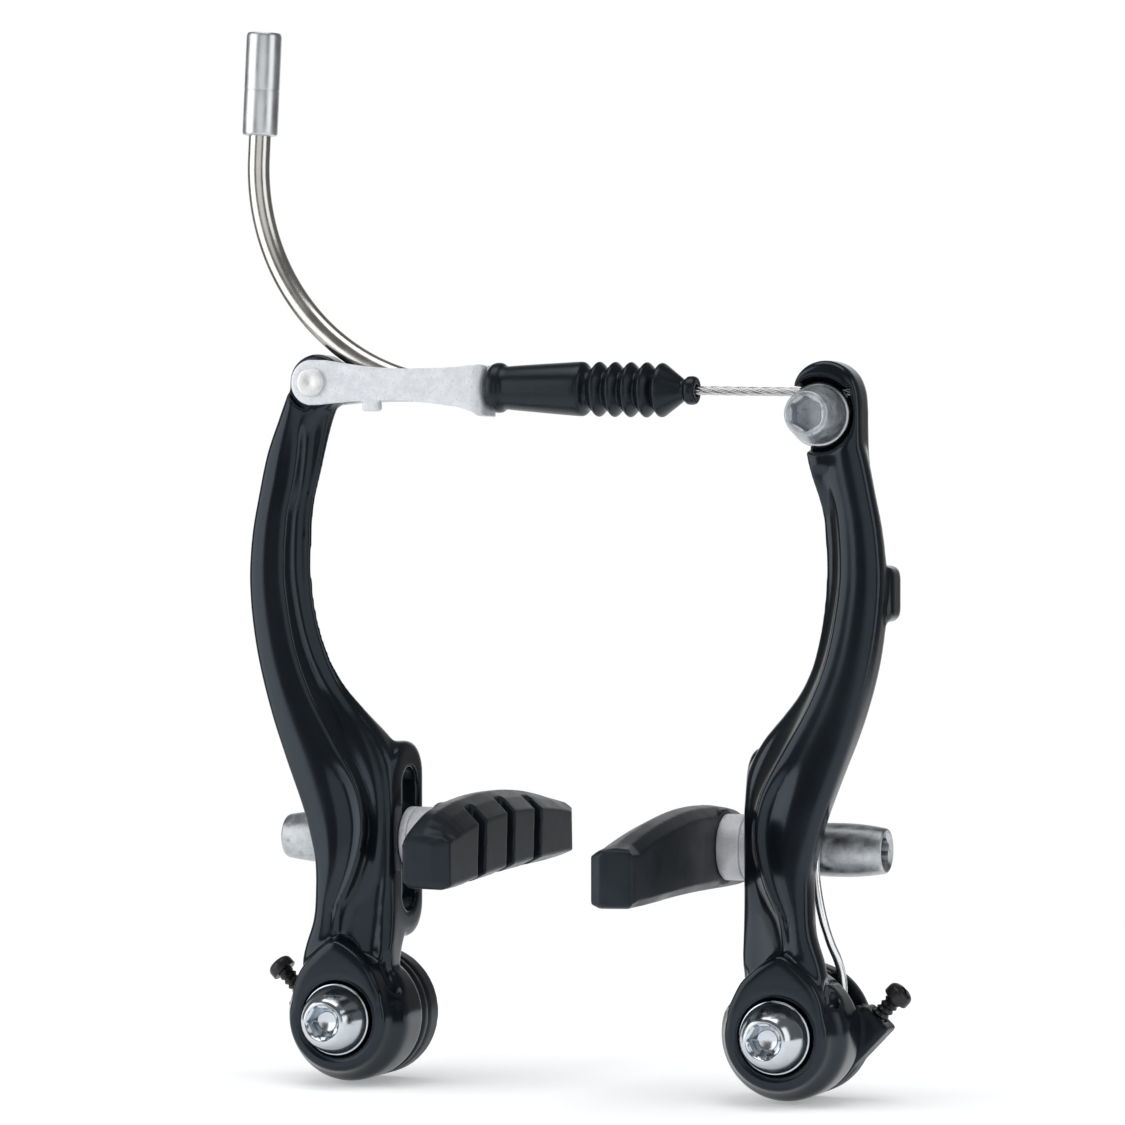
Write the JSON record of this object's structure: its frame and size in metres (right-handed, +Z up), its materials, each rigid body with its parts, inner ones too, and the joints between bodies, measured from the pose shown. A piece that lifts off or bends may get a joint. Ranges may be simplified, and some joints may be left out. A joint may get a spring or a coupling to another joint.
{
  "type": "v-brake",
  "caption": "Linear-pull bicycle rim brake: two curved arms on pivots with brake pads, return springs, curved cable guide, rubber boot and cable anchor bolt.",
  "frame": {"origin": "midway between the two pivot axes, on the plane where the spring retainers' backs seat on the fork's bosses", "axes": "+X across the wheel from the noodle's side to the anchor bolt's side, +Y back along the pivots into the fork, +Z up from the pivots to the cable"},
  "size_m": [0.1191, 0.0928, 0.1832],
  "materials": {
    "arm_paint": "glossy black paint",
    "pivot_steel": "turned steel",
    "bolt_chrome": "bright plated steel",
    "retainer_plastic": "satin black nylon",
    "spring_steel": "drawn spring wire",
    "screw_black": "black oxide",
    "pad_rubber": "matt moulded rubber",
    "stud_steel": "zinc plated",
    "washer_aluminium": "frosted",
    "nut_zinc": "dull cast zinc plating",
    "holder_zinc": "frosted light plating",
    "rivet_steel": "bright",
    "noodle_steel": "polished stainless",
    "ferrule_aluminium": "turned aluminium",
    "liner_plastic": "natural nylon",
    "boot_rubber": "soft black rubber",
    "cable_steel": "stranded stainless wire",
    "anchor_steel": "dull zinc plating"
  },
  "bodies": {
    "mounts_and_springs": {"left_pivot_bush": "pivot_steel", "left_mounting_bolt": "bolt_chrome", "left_spring_retainer": "retainer_plastic", "left_return_spring": "spring_steel", "right_pivot_bush": "pivot_steel", "right_mounting_bolt": "bolt_chrome", "right_spring_retainer": "retainer_plastic", "right_return_spring": "spring_steel"},
    "left_arm": {"left_arm": "arm_paint"},
    "right_arm": {"right_arm": "arm_paint", "anchor_bolt": "anchor_steel", "anchor_washer": "anchor_steel"},
    "holder": {"noodle_holder": "holder_zinc", "holder_rivet": "rivet_steel"},
    "noodle": {"noodle_tube": "noodle_steel", "noodle_ferrule": "ferrule_aluminium", "noodle_liner": "liner_plastic", "cable_boot": "boot_rubber", "brake_cable": "cable_steel"},
    "left_pad_clamp": {"left_inner_cup_washer": "washer_aluminium", "left_inner_dome_spacer": "washer_aluminium", "left_outer_cup_washer": "washer_aluminium", "left_outer_dome_washer": "washer_aluminium", "left_barrel_nut": "nut_zinc"},
    "left_pad": {"left_brake_pad": "pad_rubber", "left_pad_stud": "stud_steel"},
    "left_screw": {"left_tension_screw": "screw_black"},
    "right_pad_clamp": {"right_inner_cup_washer": "washer_aluminium", "right_inner_dome_spacer": "washer_aluminium", "right_outer_cup_washer": "washer_aluminium", "right_outer_dome_washer": "washer_aluminium", "right_barrel_nut": "nut_zinc"},
    "right_pad": {"right_brake_pad": "pad_rubber", "right_pad_stud": "stud_steel"},
    "right_screw": {"right_tension_screw": "screw_black"}
  },
  "joints": [
    {"name": "left_arm_pivot", "type": "hinge", "parent": "mounts_and_springs", "child": "left_arm", "pos_m": [-0.04, -0.01, 0], "axis": [0, 1, 0], "range_deg": [0, 7], "stiffness_Nm_per_rad": 0.4, "deforming": ["cable_boot", "brake_cable", "left_return_spring"]},
    {"name": "right_arm_pivot", "type": "hinge", "parent": "mounts_and_springs", "child": "right_arm", "pos_m": [0.04, -0.01, 0], "axis": [0, 1, 0], "range_deg": [-7, 0], "stiffness_Nm_per_rad": 0.4, "deforming": ["right_return_spring"]},
    {"name": "holder_pivot", "type": "hinge", "parent": "left_arm", "child": "holder", "pos_m": [-0.0454, -0.0135, 0.1103], "axis": [0, 1, 0], "range_deg": [-7, 0]},
    {"name": "noodle_swivel", "type": "hinge", "parent": "holder", "child": "noodle", "pos_m": [0, -0.0135, 0.1088], "axis": [0.9997, 0, -0.0244], "range_deg": [-6, 6]},
    {"name": "left_pad_height", "type": "slide", "parent": "left_arm", "child": "left_pad_clamp", "axis": [0, 0, 1], "range_m": [-0.009, 0.009]},
    {"name": "left_pad_angle", "type": "hinge", "parent": "left_pad_clamp", "child": "left_pad", "pos_m": [-0.032, -0.0053, 0.0306], "axis": [1, 0, 0], "range_deg": [-12, 12]},
    {"name": "left_screw_turn_in", "type": "slide", "parent": "mounts_and_springs", "child": "left_screw", "axis": [-0.6947, 0, 0.7193], "range_m": [-0.0023, 0.0008]},
    {"name": "right_pad_height", "type": "slide", "parent": "right_arm", "child": "right_pad_clamp", "axis": [0, 0, 1], "range_m": [-0.009, 0.009]},
    {"name": "right_pad_angle", "type": "hinge", "parent": "right_pad_clamp", "child": "right_pad", "pos_m": [0.032, -0.0053, 0.0306], "axis": [1, 0, 0], "range_deg": [-12, 12]},
    {"name": "right_screw_turn_in", "type": "slide", "parent": "mounts_and_springs", "child": "right_screw", "axis": [0.6947, 0, 0.7193], "range_m": [-0.0012, 0.0008]}
  ],
  "couplings": [
    {"joint": "right_arm_pivot", "follows": "left_arm_pivot", "ratio": -1},
    {"joint": "holder_pivot", "follows": "left_arm_pivot", "ratio": -1}
  ]
}
